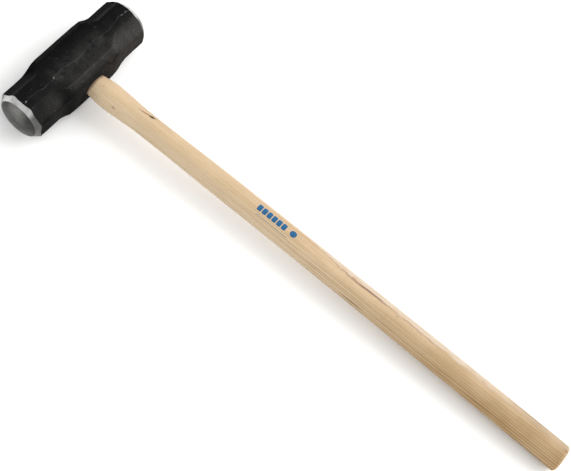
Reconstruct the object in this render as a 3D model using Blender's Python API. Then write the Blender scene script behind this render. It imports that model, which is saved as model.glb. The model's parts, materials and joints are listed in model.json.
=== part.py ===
"""Double-faced sledge hammer with a long ash handle, lying on the ground.

Each piece is modelled in the tool's own axes: the head's top face on z = 0, the
handle along +Z, the striking axis along X, the cheeks facing -Y and +Y.
The empty lying_pose then lays the tool down with its -Y cheek up, the handle along
world +X and the front face towards world -Y. All lengths are in metres.
"""

import bmesh
import bpy
import math
from mathutils import Matrix, Vector

MM = 0.001

# Whole tool
TOTAL_LENGTH = 914.0 * MM          # top of the head to the end of the handle
FIT_GAP = 0.3 * MM                 # clearance between pieces that touch

# Head: octagonal polls on either side of a taller eye block
HEAD_LENGTH = 243.4 * MM
POLL_WIDTH = 73.1 * MM             # across flats
POLL_CORNER = 22.0 * MM            # leg of the corner flats
BLOCK_HEIGHT = 80.6 * MM           # eye block, along the handle
BLOCK_WIDTH = 71.0 * MM            # eye block, across the cheeks
BLOCK_CORNER = 13.0 * MM
BLOCK_HALF_LENGTH = 35.4 * MM
SHOULDER_LENGTH = 35.0 * MM        # run-out from the eye block to the poll
FACE_RADIUS = 31.1 * MM            # rim of the crowned striking face
FACE_CROWN = 4.9 * MM              # height of the crown over its rim
BEVEL_ANGLE = math.radians(39.7)   # ground bevel, from the striking axis
BEVEL_SPAN = 16.0 * MM             # part of the poll that the bevel can reach

# Eye: an oval hourglass, half-length and half-width at its mouths and waist
EYE_TOP = (20.2 * MM, 15.6 * MM)
EYE_WAIST = (17.8 * MM, 13.6 * MM)
EYE_BOTTOM = (18.8 * MM, 14.5 * MM)
EYE_WAIST_HEIGHT = 0.45 * BLOCK_HEIGHT
EYE_MOUTH_FLARE = 1.5 * MM

# Handle: half the oval's long side at heights over the head's underside
OVAL_RATIO = 0.765                 # short side over long side
HANDLE_STATIONS = (
    (0.0, 18.4 * MM),
    (25.0 * MM, 21.2 * MM),
    (90.0 * MM, 18.3 * MM),
    (220.0 * MM, 19.1 * MM),
    (380.0 * MM, 19.3 * MM),
    (620.0 * MM, 20.4 * MM),
    (TOTAL_LENGTH - BLOCK_HEIGHT, 21.2 * MM),
)
HANDLE_BOW = -3.0 * MM             # sideways bow at mid-length, along X
END_ROUNDING = 4.5 * MM            # rounded edge of the handle's end
TENON_RECESS = 1.0 * MM            # tenon ends this far inside the eye

# Wedges, measured from the tenon's end into the eye
KERF_DEPTH = 52.0 * MM
WOOD_WEDGE_DEPTH = 46.0 * MM
WOOD_WEDGE_HALF_LENGTH = 16.4 * MM
WOOD_WEDGE_TOP_HALF = 3.2 * MM     # half-thickness at the driven end
WOOD_WEDGE_TIP_HALF = 0.9 * MM
STEEL_WEDGE_DEPTH = 17.0 * MM
STEEL_WEDGE_HALF_WIDTH = 9.0 * MM
STEEL_WEDGE_TOP_HALF = 1.7 * MM
STEEL_WEDGE_TIP_HALF = 0.5 * MM
STEEL_WEDGE_OFFSET = 9.5 * MM      # from the handle's axis, along X
STEEL_WEDGE_TURN = math.radians(18.0)
STEEL_WEDGE_BARBS = 4

# Tool axes X, Y, Z turned to world -Y, -Z, X
LYING_AXES = Matrix(((0.0, 0.0, 1.0), (-1.0, 0.0, 0.0), (0.0, -1.0, 0.0)))

# Mesh fineness
FLAT_STEPS = 5                     # steps across each of the head's eight flats
EYE_SIDES = 48
HANDLE_SIDES = 32
CROWN_SHARES = (0.85, 0.6, 0.35, 0.12)


def clear_scene():
    for item in list(bpy.data.objects):
        bpy.data.objects.remove(item, do_unlink=True)


def make_material(name, colour, roughness, metallic):
    material = bpy.data.materials.new(name)
    material.use_nodes = True
    shader = material.node_tree.nodes["Principled BSDF"]
    shader.inputs["Base Color"].default_value = (*colour, 1.0)
    shader.inputs["Roughness"].default_value = roughness
    shader.inputs["Metallic"].default_value = metallic
    material.diffuse_color = (*colour, 1.0)
    return material


def smooth_step(value):
    value = min(max(value, 0.0), 1.0)
    return value * value * (3.0 - 2.0 * value)


def blend(start, end, share):
    return start + (end - start) * share


def loft(name, rings):
    """Closed body through a row of rings of equal length, capped at both ends."""
    mesh = bmesh.new()
    rows = [[mesh.verts.new(point) for point in ring] for ring in rings]
    count = len(rows[0])
    for lower, upper in zip(rows, rows[1:]):
        for i in range(count):
            j = (i + 1) % count
            mesh.faces.new((lower[i], lower[j], upper[j], upper[i]))
    mesh.faces.new(list(reversed(rows[0])))
    mesh.faces.new(rows[-1])
    bmesh.ops.recalc_face_normals(mesh, faces=mesh.faces)
    data = bpy.data.meshes.new(name)
    mesh.to_mesh(data)
    mesh.free()
    body = bpy.data.objects.new(name, data)
    bpy.context.scene.collection.objects.link(body)
    return body


def finish(body, material, edge_angle):
    body.data.materials.append(material)
    body.data.shade_smooth()
    body.data.set_sharp_from_angle(angle=math.radians(edge_angle))
    return body


def subtract(body, cutter):
    cutter.hide_render = True
    cutter.display_type = "WIRE"
    cut = body.modifiers.new("cut_" + cutter.name, "BOOLEAN")
    cut.operation = "DIFFERENCE"
    cut.solver = "EXACT"
    cut.object = cutter


def oval(half_length, half_width, height, sides, shift=0.0):
    """Ellipse round the Z axis, its long side along X."""
    turns = [2.0 * math.pi * i / sides for i in range(sides)]
    return [
        Vector((shift + half_length * math.cos(t), half_width * math.sin(t), height))
        for t in turns
    ]


# Head ---------------------------------------------------------------------

RIM_POSITION = HEAD_LENGTH / 2.0 - FACE_CROWN


def section_corners(position):
    """The eight corners of the forged section, as pairs across and along the handle."""
    share = smooth_step((abs(position) - BLOCK_HALF_LENGTH) / SHOULDER_LENGTH)
    half_width = blend(BLOCK_WIDTH, POLL_WIDTH, share) / 2.0
    half_height = blend(BLOCK_HEIGHT, POLL_WIDTH, share) / 2.0
    corner = blend(BLOCK_CORNER, POLL_CORNER, share)
    wide = (half_width, half_height - corner)
    tall = (half_width - corner, half_height)
    return [
        (wide[0], -wide[1]), (wide[0], wide[1]), (tall[0], tall[1]), (-tall[0], tall[1]),
        (-wide[0], wide[1]), (-wide[0], -wide[1]), (-tall[0], -tall[1]), (tall[0], -tall[1]),
    ]


def head_section(position):
    """Points round the forged section, evenly spaced along each flat."""
    corners = section_corners(position)
    points = []
    for start, end in zip(corners, corners[1:] + corners[:1]):
        for i in range(FLAT_STEPS):
            share = i / FLAT_STEPS
            points.append((blend(start[0], end[0], share), blend(start[1], end[1], share)))
    return points


def head_ring(position):
    """Section of the head, cut back to the cone of the ground bevel."""
    bevel = FACE_RADIUS + (RIM_POSITION - abs(position)) * math.tan(BEVEL_ANGLE)
    ring = []
    for across, along in head_section(position):
        shrink = min(1.0, bevel / math.hypot(across, along))
        height = BLOCK_HEIGHT / 2.0 + along * shrink
        ring.append(Vector((position, across * shrink, height)))
    return ring


def crown_ring(share, side):
    """Ring of the domed striking face; share is 1 at the rim, 0 at the centre."""
    position = side * (RIM_POSITION + FACE_CROWN * (1.0 - share * share))
    ring = []
    for across, along in head_section(RIM_POSITION):
        reach = share * FACE_RADIUS / math.hypot(across, along)
        height = BLOCK_HEIGHT / 2.0 + along * reach
        ring.append(Vector((position, across * reach, height)))
    return ring


def head_positions():
    """Positions along half of the striking axis, closer where the shape changes."""
    shoulder_end = BLOCK_HALF_LENGTH + SHOULDER_LENGTH
    bevel_start = RIM_POSITION - BEVEL_SPAN
    positions = [BLOCK_HALF_LENGTH * i / 2.0 for i in range(1, 3)]
    positions += [blend(BLOCK_HALF_LENGTH, shoulder_end, i / 6.0) for i in range(1, 7)]
    positions.append(bevel_start)
    positions += [blend(bevel_start, RIM_POSITION, i / 7.0) for i in range(1, 8)]
    return positions


def make_head(material, eye_cutter):
    half = head_positions()
    rings = [crown_ring(share, -1.0) for share in reversed(CROWN_SHARES)]
    rings += [head_ring(-position) for position in reversed(half)]
    rings.append(head_ring(0.0))
    rings += [head_ring(position) for position in half]
    rings += [crown_ring(share, 1.0) for share in CROWN_SHARES]
    head = loft("hammer_head", rings)
    subtract(head, eye_cutter)
    return finish(head, material, 28.0)


def eye_size(height):
    """Half-length and half-width of the eye at a height over the head's top."""
    if height < EYE_WAIST_HEIGHT:
        share = smooth_step(height / EYE_WAIST_HEIGHT)
        return [blend(a, b, share) for a, b in zip(EYE_TOP, EYE_WAIST)]
    span = BLOCK_HEIGHT - EYE_WAIST_HEIGHT
    share = smooth_step((height - EYE_WAIST_HEIGHT) / span)
    return [blend(a, b, share) for a, b in zip(EYE_WAIST, EYE_BOTTOM)]


def make_eye_cutter():
    flare = EYE_MOUTH_FLARE
    overshoot = 2.0 * MM
    rings = []
    for height, widen in (
        (-overshoot, flare + overshoot),
        (flare, 0.0),
    ):
        length, width = eye_size(max(height, 0.0))
        rings.append(oval(length + widen, width + widen, height, EYE_SIDES))
    steps = 12
    for i in range(1, steps):
        height = blend(flare, BLOCK_HEIGHT - flare, i / steps)
        length, width = eye_size(height)
        rings.append(oval(length, width, height, EYE_SIDES))
    for height, widen in (
        (BLOCK_HEIGHT - flare, 0.0),
        (BLOCK_HEIGHT + overshoot, flare + overshoot),
    ):
        length, width = eye_size(min(height, BLOCK_HEIGHT))
        rings.append(oval(length + widen, width + widen, height, EYE_SIDES))
    return loft("eye_cutter", rings)


# Handle -------------------------------------------------------------------

def handle_half_length(rise):
    """Half the oval's long side at a height over the head's underside.

    A smooth curve through the stations, its slope at each one taken from its neighbours.
    """
    last = len(HANDLE_STATIONS) - 1
    i = 0
    while i < last - 1 and rise > HANDLE_STATIONS[i + 1][0]:
        i += 1
    (low, start), (high, end) = HANDLE_STATIONS[i], HANDLE_STATIONS[i + 1]
    before = HANDLE_STATIONS[max(i - 1, 0)]
    after = HANDLE_STATIONS[min(i + 2, last)]
    span = high - low
    start_slope = (end - before[1]) / (high - before[0]) * span
    end_slope = (after[1] - start) / (after[0] - low) * span
    t = min(max((rise - low) / span, 0.0), 1.0)
    value = (2.0 * t ** 3 - 3.0 * t ** 2 + 1.0) * start
    value += (t ** 3 - 2.0 * t ** 2 + t) * start_slope
    value += (3.0 * t ** 2 - 2.0 * t ** 3) * end
    value += (t ** 3 - t ** 2) * end_slope
    return value


def bow_at(height):
    """Sideways shift of the handle's axis, nothing at the head and at the end."""
    middle = (BLOCK_HEIGHT + TOTAL_LENGTH) / 2.0
    reach = TOTAL_LENGTH - middle
    share = min(abs(height - middle) / reach, 1.0)
    return HANDLE_BOW * (1.0 - share * share)


def tenon_rings():
    rings = []
    steps = 9
    for i in range(steps + 1):
        height = blend(TENON_RECESS, BLOCK_HEIGHT, i / steps)
        length, width = eye_size(height)
        rings.append(oval(length - FIT_GAP, width - FIT_GAP, height, HANDLE_SIDES))
    return rings


def shaft_rings():
    rings = []
    steps = 26
    straight_end = TOTAL_LENGTH - END_ROUNDING
    for i in range(1, steps + 1):
        height = blend(BLOCK_HEIGHT, straight_end, (i / steps) ** 1.25)
        length = handle_half_length(height - BLOCK_HEIGHT)
        shift = bow_at(height)
        rings.append(oval(length, length * OVAL_RATIO, height, HANDLE_SIDES, shift))
    length = handle_half_length(TOTAL_LENGTH - BLOCK_HEIGHT)
    for i in range(1, 5):
        angle = math.radians(90.0 * i / 4.0)
        inset = END_ROUNDING * (1.0 - math.cos(angle))
        height = straight_end + END_ROUNDING * math.sin(angle)
        rings.append(
            oval(length - inset, length * OVAL_RATIO - inset, height, HANDLE_SIDES)
        )
    return rings


def make_handle(material, cutters):
    handle = loft("handle", tenon_rings() + shaft_rings())
    for cutter in cutters:
        subtract(handle, cutter)
    return finish(handle, material, 35.0)


# Wedges -------------------------------------------------------------------

def wedge_body(name, half_length, profile):
    """Wedge with its driven end at z = 0 of its own axes and its tip along +Z.

    profile lists half-thickness and depth, from the driven end to the tip.
    """
    outline = [Vector((half, depth)) for half, depth in profile]
    outline += [Vector((-half, depth)) for half, depth in reversed(profile)]
    rings = [
        [Vector((side * half_length, point.x, point.y)) for point in outline]
        for side in (-1.0, 1.0)
    ]
    return loft(name, rings)


def make_kerf_cutter():
    depth = KERF_DEPTH
    end_half = WOOD_WEDGE_TIP_HALF + FIT_GAP
    top_half = WOOD_WEDGE_TOP_HALF + FIT_GAP
    overshoot = 3.0 * MM
    slope = (top_half - end_half) / WOOD_WEDGE_DEPTH
    profile = (
        (top_half + slope * overshoot, -overshoot),
        (end_half, WOOD_WEDGE_DEPTH),
        (end_half, depth),
    )
    cutter = wedge_body("kerf_cutter", 2.0 * WOOD_WEDGE_HALF_LENGTH, profile)
    cutter.location = (0.0, 0.0, TENON_RECESS)
    return cutter


def place_steel(body, side):
    body.location = (side * STEEL_WEDGE_OFFSET, 0.0, TENON_RECESS)
    body.rotation_euler = (0.0, 0.0, math.radians(90.0) + side * STEEL_WEDGE_TURN)


def make_slot_cutter(name, side):
    overshoot = 3.0 * MM
    top_half = STEEL_WEDGE_TOP_HALF + FIT_GAP
    tip_half = STEEL_WEDGE_TIP_HALF + FIT_GAP
    slope = (top_half - tip_half) / STEEL_WEDGE_DEPTH
    profile = (
        (top_half + slope * overshoot, -overshoot),
        (tip_half, STEEL_WEDGE_DEPTH + FIT_GAP),
    )
    cutter = wedge_body(name, STEEL_WEDGE_HALF_WIDTH + FIT_GAP, profile)
    place_steel(cutter, side)
    return cutter


def make_wood_wedge(material, slots):
    profile = (
        (WOOD_WEDGE_TOP_HALF, 0.0),
        (WOOD_WEDGE_TIP_HALF, WOOD_WEDGE_DEPTH - FIT_GAP),
    )
    wedge = wedge_body("wood_wedge", WOOD_WEDGE_HALF_LENGTH, profile)
    wedge.location = (0.0, 0.0, TENON_RECESS)
    for slot in slots:
        subtract(wedge, slot)
    return finish(wedge, material, 35.0)


def make_steel_wedge(name, side, material):
    """Barbed wedge: each barb steps in, so that it can't work loose."""
    step_depth = STEEL_WEDGE_DEPTH / STEEL_WEDGE_BARBS
    barb = 0.25 * MM
    profile = []
    for i in range(STEEL_WEDGE_BARBS):
        wide = blend(STEEL_WEDGE_TOP_HALF, STEEL_WEDGE_TIP_HALF, i / STEEL_WEDGE_BARBS)
        thin = blend(STEEL_WEDGE_TOP_HALF, STEEL_WEDGE_TIP_HALF, (i + 1) / STEEL_WEDGE_BARBS)
        profile.append((wide, i * step_depth))
        profile.append((thin - barb, (i + 0.92) * step_depth))
    profile[-1] = (STEEL_WEDGE_TIP_HALF - barb, STEEL_WEDGE_DEPTH)
    wedge = wedge_body(name, STEEL_WEDGE_HALF_WIDTH, profile)
    place_steel(wedge, side)
    return finish(wedge, material, 20.0)


# Pose ---------------------------------------------------------------------

def lean_angle():
    """Slope at which the polls' edges and the handle's end both touch the ground."""
    poll_edge = BLOCK_HEIGHT / 2.0 + POLL_WIDTH / 2.0 - POLL_CORNER
    handle_end = TOTAL_LENGTH - END_ROUNDING
    end_half_width = handle_half_length(TOTAL_LENGTH - BLOCK_HEIGHT) * OVAL_RATIO
    drop = POLL_WIDTH / 2.0 - end_half_width
    return math.atan2(drop, handle_end - poll_edge)


def lowest_and_highest(bodies):
    graph = bpy.context.evaluated_depsgraph_get()
    points = []
    for body in bodies:
        shape = body.evaluated_get(graph)
        points += [shape.matrix_world @ vertex.co for vertex in shape.data.vertices]
    low = Vector([min(point[axis] for point in points) for axis in range(3)])
    high = Vector([max(point[axis] for point in points) for axis in range(3)])
    return low, high


def lay_down(bodies, cutters):
    """Rest the tool on z = 0, the centre of its footprint on the origin."""
    pose = bpy.data.objects.new("lying_pose", None)
    bpy.context.scene.collection.objects.link(pose)
    for item in bodies + cutters:
        item.parent = pose
    turn = Matrix.Rotation(lean_angle(), 3, "Y") @ LYING_AXES
    pose.rotation_euler = turn.to_euler()
    bpy.context.view_layer.update()
    low, high = lowest_and_highest(bodies)
    middle = (low + high) / 2.0
    pose.location = (-middle.x, -middle.y, -low.z)


def main():
    clear_scene()
    forged_black = make_material("forged_black", (0.030, 0.030, 0.032), 0.55, 0.6)
    ash = make_material("ash_wood", (0.72, 0.55, 0.36), 0.45, 0.0)
    wedge_wood = make_material("wedge_wood", (0.60, 0.42, 0.25), 0.6, 0.0)
    front_steel = make_material("front_wedge_steel", (0.45, 0.45, 0.46), 0.4, 1.0)
    rear_steel = make_material("rear_wedge_steel", (0.45, 0.45, 0.46), 0.4, 1.0)

    eye = make_eye_cutter()
    kerf = make_kerf_cutter()
    slots = [
        make_slot_cutter("front_slot_cutter", 1.0),
        make_slot_cutter("rear_slot_cutter", -1.0),
    ]
    bodies = [
        make_head(forged_black, eye),
        make_handle(ash, [kerf] + slots),
        make_wood_wedge(wedge_wood, slots),
        make_steel_wedge("steel_wedge_front", 1.0, front_steel),
        make_steel_wedge("steel_wedge_rear", -1.0, rear_steel),
    ]
    lay_down(bodies, [eye, kerf] + slots)


main()
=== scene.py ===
"""Double-faced sledge hammer lying on a pale studio floor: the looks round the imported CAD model.

The forged head and the handle are modelled again here as fine meshes, in the tool's own axes:
the head's top face on z = 0, the handle along +Z, the striking axis along X, the cheeks facing
-Y and +Y. Their objects carry the lying pose, so Object coordinates in the materials are the
tool's own. The wedges keep their CAD meshes. All lengths are in metres.
"""

import json
import math

import bpy
import numpy as np
from mathutils import Matrix, Vector, noise


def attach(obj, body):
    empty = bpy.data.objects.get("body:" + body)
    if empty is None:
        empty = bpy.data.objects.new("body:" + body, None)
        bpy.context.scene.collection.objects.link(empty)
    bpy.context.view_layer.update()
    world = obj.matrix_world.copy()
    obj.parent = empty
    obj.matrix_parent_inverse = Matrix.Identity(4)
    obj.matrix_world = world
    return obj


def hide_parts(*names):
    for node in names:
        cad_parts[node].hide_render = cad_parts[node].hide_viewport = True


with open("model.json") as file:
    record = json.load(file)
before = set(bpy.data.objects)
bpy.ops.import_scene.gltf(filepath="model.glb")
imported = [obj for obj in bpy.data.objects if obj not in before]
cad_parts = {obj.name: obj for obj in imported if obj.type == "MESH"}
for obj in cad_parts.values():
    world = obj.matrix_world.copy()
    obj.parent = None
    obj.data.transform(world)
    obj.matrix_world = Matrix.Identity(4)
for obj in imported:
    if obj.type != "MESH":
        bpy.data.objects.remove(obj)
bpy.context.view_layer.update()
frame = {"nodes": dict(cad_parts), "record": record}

MM = 0.001

# Whole tool, as in the CAD model
TOTAL_LENGTH = 914.0 * MM
FIT_GAP = 0.3 * MM
HEAD_LENGTH = 243.4 * MM
POLL_WIDTH = 73.1 * MM              # across flats
POLL_CORNER = 22.0 * MM             # leg of the corner flats
BLOCK_HEIGHT = 80.6 * MM            # eye block, along the handle
BLOCK_WIDTH = 71.0 * MM             # eye block, across the cheeks
BLOCK_CORNER = 13.0 * MM
BLOCK_HALF_LENGTH = 35.4 * MM
SHOULDER_LENGTH = 35.0 * MM
FACE_RADIUS = 31.1 * MM             # rim of the crowned striking face
FACE_CROWN = 4.9 * MM
BEVEL_ANGLE = math.radians(39.7)    # ground bevel, from the striking axis
RIM_POSITION = HEAD_LENGTH / 2.0 - FACE_CROWN

# Forging details of the head
CHEEK_DRAFT = math.radians(3.4)     # each cheek falls away on both sides of its flat land
CORNER_SHARPNESS = 50.0             # higher is a tighter rounding between the flats
SCOOP_START = 45.0 * MM             # where the corner flats run out, at mid-flat
SCOOP_CURVE = 13.0 * MM             # how much later they run out at the flat's edges
SCOOP_CURVE_LIMIT = 1.5             # no more than this many times SCOOP_CURVE is added
SCOOP_LENGTH = 13.5 * MM
PARTING_SHIFT = 3.3 * MM            # parting line, from the head's mid-plane
LAND_WIDTH = 9.0 * MM               # flat land, from the parting line towards the head's top
PARTING_SWING = 2.0 * MM            # the parting line wanders in three waves
PARTING_PITCH = 62.0 * MM
PARTING_OFFSET = 2.0 * MM
RIPPLE_HEIGHT = 0.7 * MM
RIPPLE_PITCH = 17.0 * MM
JITTER_HEIGHT = 0.35 * MM
JITTER_PITCH = 6.3 * MM
JITTER_PHASE = 1.0
FLASH_HEIGHT = 0.55 * MM
FLASH_HALF_WIDTH = 0.75 * MM
FLASH_STRENGTH = 0.6
FLASH_LIMITS = (0.1, 1.1)
FLASH_COSINE = 0.8                  # there is flash where the turn's cosine is over this
FLASH_UNEVENNESS = (                # depth, size and seed of the noise in the flash's height
    (0.6, 11.0 * MM, 5.0),
    (0.35, 3.1 * MM, 8.0),
)
FLASH_NICKS = (                     # bare spots on the flash: place, half-length and brightness
    (50.0 * MM, 1.2 * MM, 0.85),
    (105.0 * MM, 1.2 * MM, 1.0),
    (-96.0 * MM, 1.4 * MM, 0.55),
    (-104.0 * MM, 2.4 * MM, 0.30),
)
REST_LIMIT = POLL_WIDTH / 2.0 + 0.1 * MM    # nothing stands lower than this on the resting cheek
DENT_DEPTH = 0.45 * MM
DENT_SIZE = 24.0 * MM
SCALE_DEPTH = 0.07 * MM
SCALE_SIZE = 2.6 * MM
EDGE_CLOSENESS = 0.035              # how alike two flats' reaches are where an edge begins
SCALLOP_SHARE = 0.5                 # how far the bevel's edge follows the head's corners
GRINDING_ALLOWANCE = 12.0 * MM      # the bevel's edge is worked out this far behind the rim
GRINDING_WOBBLE = (                 # depth, size on a unit circle and seed of its noise
    (0.5 * MM, 0.35, 3.0),
    (0.25 * MM, 0.12, 4.0),
)
RIM_ROUNDING = 1.3 * MM

# Eye: half-length and half-width at its mouths and waist
EYE_TOP = (20.2 * MM, 15.6 * MM)
EYE_WAIST = (17.8 * MM, 13.6 * MM)
EYE_BOTTOM = (18.8 * MM, 14.5 * MM)
EYE_WAIST_HEIGHT = 0.45 * BLOCK_HEIGHT
EYE_MOUTH_FLARE = 1.5 * MM
EYE_OVERSHOOT = 2.0 * MM            # the cutter goes this far past each mouth

# Handle: half the oval's long side at heights over the head's underside
OVAL_RATIO = 0.765
HANDLE_STATIONS = (
    (0.0, 18.4 * MM),
    (25.0 * MM, 21.2 * MM),
    (90.0 * MM, 18.3 * MM),
    (220.0 * MM, 19.1 * MM),
    (380.0 * MM, 19.3 * MM),
    (620.0 * MM, 20.4 * MM),
    (TOTAL_LENGTH - BLOCK_HEIGHT, 21.2 * MM),
)
HANDLE_BOW = -3.0 * MM
END_ROUNDING = 4.5 * MM
END_BULGE = 0.3 * MM
TENON_RECESS = 1.0 * MM
SHAVING_DEPTH = 0.12 * MM           # faint waviness that turning and sanding leave
SHAVING_SIZE = Vector((14.0, 14.0, 90.0)) * MM
SHAVING_START = 12.0 * MM           # it fades in over this length from the head

# Wedges, measured from the tenon's end into the eye
KERF_DEPTH = 52.0 * MM
WOOD_WEDGE_DEPTH = 46.0 * MM
WOOD_WEDGE_HALF_LENGTH = 16.4 * MM
WOOD_WEDGE_TOP_HALF = 3.2 * MM
WOOD_WEDGE_TIP_HALF = 0.9 * MM
STEEL_WEDGE_DEPTH = 17.0 * MM
STEEL_WEDGE_HALF_WIDTH = 9.0 * MM
STEEL_WEDGE_TOP_HALF = 1.7 * MM
STEEL_WEDGE_TIP_HALF = 0.5 * MM
STEEL_WEDGE_OFFSET = 9.5 * MM
STEEL_WEDGE_TURN = math.radians(18.0)
CUT_OVERSHOOT = 3.0 * MM

# Mesh fineness
HEAD_TURNS = 420
FINE_TURNS = 4001                   # for working out where the head's turns lie
PARTING_CROWDING = 1.6              # how much closer together the points are by the parting line
PARTING_SPREAD = 0.22
STEP_LENGTH = 0.8 * MM
STRAIGHT_HALF = 86.0 * MM           # the rings inside this lie square to the striking axis
EDGE_RINGS = 30
BEVEL_RINGS = 10
RIM_STEPS = (0.2, 0.4, 0.6, 0.8)
CROWN_RINGS = 22
CROWN_INNER_SHARE = 0.04            # innermost ring, as a share of the face's radius
EYE_SIDES = 120
EYE_RINGS = 25
HANDLE_SIDES = 128
TENON_RINGS = 24
HANDLE_RINGS = 330
END_RINGS = 13
END_SHARES = (0.7, 0.4, 0.15)
HEAD_SHARP_ANGLE = math.radians(40.0)
HANDLE_SHARP_ANGLE = math.radians(35.0)
SEED_STEPS = (17.3, 5.9, 11.1)      # how far apart the noise of two seeds lies

# Camera and light
CAMERA_PLACE = Vector((0.19278, -0.79026, 1.60418))
CAMERA_AIM = Vector((-0.0288, 0.0015, 0.0300))
CAMERA_ROLL = math.radians(24.254)
CAMERA_LENS = 80.15                 # millimetres, on a 36 mm sensor
SURROUND_LIGHT = 0.93
SURROUND_SLOPE = (0.44, -0.13, 0.17)    # how the surround brightens along each axis
KEY_DIRECTION = (0.50, 0.70, 0.35)
KEY_SPREAD = math.radians(72.0)
KEY_STRENGTH = 3.9
FLOOR_HALF = 6.0
FLOOR_DROP = 0.2 * MM

# Looks of the head, from the paint outwards
PAINT_DARK = (0.0018, 0.0018, 0.0019)
PAINT_LIGHT = (0.0036, 0.0035, 0.0034)
PAINT_PATCH = (0.0070, 0.0068, 0.0065)
# painted light: lighter grey for the lit flats on the handle side of the head
PAINTED_LIGHT_GREY = (0.034, 0.0328, 0.0310)
RUST = (0.040, 0.027, 0.020)
# painted highlight, partly worn paint, along the edges between the flats
WORN_EDGE_HIGHLIGHT = (0.036, 0.036, 0.035)
FLASH_CREST = (0.050, 0.050, 0.049)
SPECK = (0.060, 0.060, 0.059)
GRAIN_TONE = (0.30, 0.30, 0.30)
BARE_STEEL = (0.42, 0.42, 0.41)
PAINT_SPECULAR = 0.055
BEVEL_STEEL = (0.64, 0.64, 0.635)
# painted shade: darker tint mixed over parts of the bevel
BEVEL_SHADE_TINT = (0.19, 0.188, 0.183)
BEVEL_ROUGHNESS = 0.28
BEVEL_MARKS = 0.5 * MM              # pitch of the grinding marks
BEVEL_SHADE_ZONES = (                # painted shade on the bevel: where it starts and is full, in mm, and its share
    (38.0, 56.0, 0.32),
    (55.0, 64.5, 0.68),
    (24.0, 12.0, 0.22),
    (10.5, 8.2, 0.70),
)
FACE_STEEL = (0.178, 0.176, 0.168)
# painted shade over the crowned face, leaving a painted reflection by the upper cheek
FACE_SHADE_TINT = (0.22, 0.22, 0.216)
FACE_ROUGHNESS = 0.34
FACE_MARKS = 0.4 * MM

# Looks of the handle
HEAD_CREAM = (0.485, 0.370, 0.235)  # by the head, in the middle and at the far end
MIDDLE_TAN = (0.515, 0.386, 0.243)
END_TAN = (0.305, 0.202, 0.088)
REAR_SIDE_SHADE = (0.36, 0.265, 0.17)     # painted shade on the side towards the rear face
REAR_SIDE_END_SHADE = (0.145, 0.098, 0.054)
FRONT_SIDE = (0.60, 0.485, 0.335)   # the side towards the front face
FRONT_SIDE_END = (0.312, 0.186, 0.066)
RING_PITCH = 2.9 * MM
PALE_RING = (0.60, 0.49, 0.32)
DARK_RING = (0.325, 0.207, 0.097)
DARK_RING_END = (0.225, 0.140, 0.058)
COARSE_BROWN = (0.39, 0.24, 0.125)
FIBRE_BROWN = (0.35, 0.226, 0.117)
CLOUD_CREAM = (0.63, 0.47, 0.32)
PORE_BROWN = (0.30, 0.19, 0.10)
SAPWOOD = (0.455, 0.370, 0.283)
SAPWOOD_SEAM = (0.25, 0.135, 0.085)
# partly a stain, partly painted shade where the handle meets the head
SOCKET_STAIN_AND_SHADE = (0.12, 0.075, 0.052)
WOOD_SPECULAR = 0.18
STREAK_REACH = 17.0 * MM            # turns a streak's angles into lengths round the handle
STREAKS = (                         # from and to, turn in degrees, half-width, colour, strength
    ((144.0 * MM, 192.0 * MM), (-112.0, -139.0), 1.5 * MM, (0.17, 0.045, 0.014), 0.95),
    ((168.0 * MM, 183.0 * MM), (-126.0, -133.0), 3.4 * MM, (0.006, 0.002, 0.001), 1.0),
    ((121.0 * MM, 130.0 * MM), (-34.0, -32.0), 1.3 * MM, (0.16, 0.09, 0.05), 0.7),
    ((92.0 * MM, 97.0 * MM), (-86.0, -85.0), 1.0 * MM, (0.20, 0.12, 0.08), 0.6),
    ((515.0 * MM, 613.0 * MM), (-117.0, -127.0), 2.5 * MM, (0.13, 0.058, 0.040), 0.85),
    ((616.0 * MM, 623.0 * MM), (-111.0, -111.0), 1.3 * MM, (0.13, 0.06, 0.04), 0.8),
    ((630.0 * MM, 641.0 * MM), (-145.0, -145.0), 1.2 * MM, (0.20, 0.10, 0.06), 0.6),
    ((526.0 * MM, 588.0 * MM), (-14.0, -17.0), 1.5 * MM, (0.11, 0.055, 0.028), 0.85),
    ((905.0 * MM, 915.0 * MM), (-113.0, -113.0), 1.6 * MM, (0.10, 0.035, 0.012), 0.85),
)

# Print on the handle: a row of rounded tiles, a disc, and a thin rule under them
PRINT_START = 373.0 * MM
PRINT_PITCH = 8.6 * MM
PRINT_COUNT = 6
PRINT_FILL = 0.84                   # part of each step that its tile fills
PRINT_DISC = 436.5 * MM
PRINT_HALF_HEIGHT = 5.3 * MM
PRINT_SQUARENESS = 4.0              # higher makes the tiles' corners less round
PRINT_SHIFT = -4.5 * MM
PRINT_RULE = 10.6 * MM
PRINT_RULE_INSET = 4.0 * MM
PRINT_BLUE = (0.0002, 0.080, 0.195)
PRINT_GREY = (0.09, 0.12, 0.15)

# Looks of the wedges and of the floor
WEDGE_WOOD_DARK = (0.40, 0.24, 0.12)
WEDGE_WOOD_LIGHT = (0.55, 0.36, 0.20)
WEDGE_WOOD_FIBRE = (0.24, 0.13, 0.06)
WEDGE_STEEL_DARK = (0.28, 0.28, 0.29)
WEDGE_STEEL_LIGHT = (0.46, 0.46, 0.47)
WEDGE_RUST = (0.17, 0.075, 0.035)
PAPER_DARK = (0.88, 0.88, 0.875)
PAPER_LIGHT = (0.90, 0.90, 0.895)


# Small helpers -------------------------------------------------------------------------

def smooth_step(value):
    value = np.clip(value, 0.0, 1.0)
    return value * value * (3.0 - 2.0 * value)


def blend(start, end, share):
    return start + (end - start) * share


def lumps(points, size, seed):
    """Smooth noise from -1 to 1 at each point; size is one length or one for each axis."""
    shift = Vector([seed * step for step in SEED_STEPS])
    steps = points / np.broadcast_to(np.array(size), (3,))
    return np.array([noise.noise(Vector(step) + shift) for step in steps])


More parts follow.
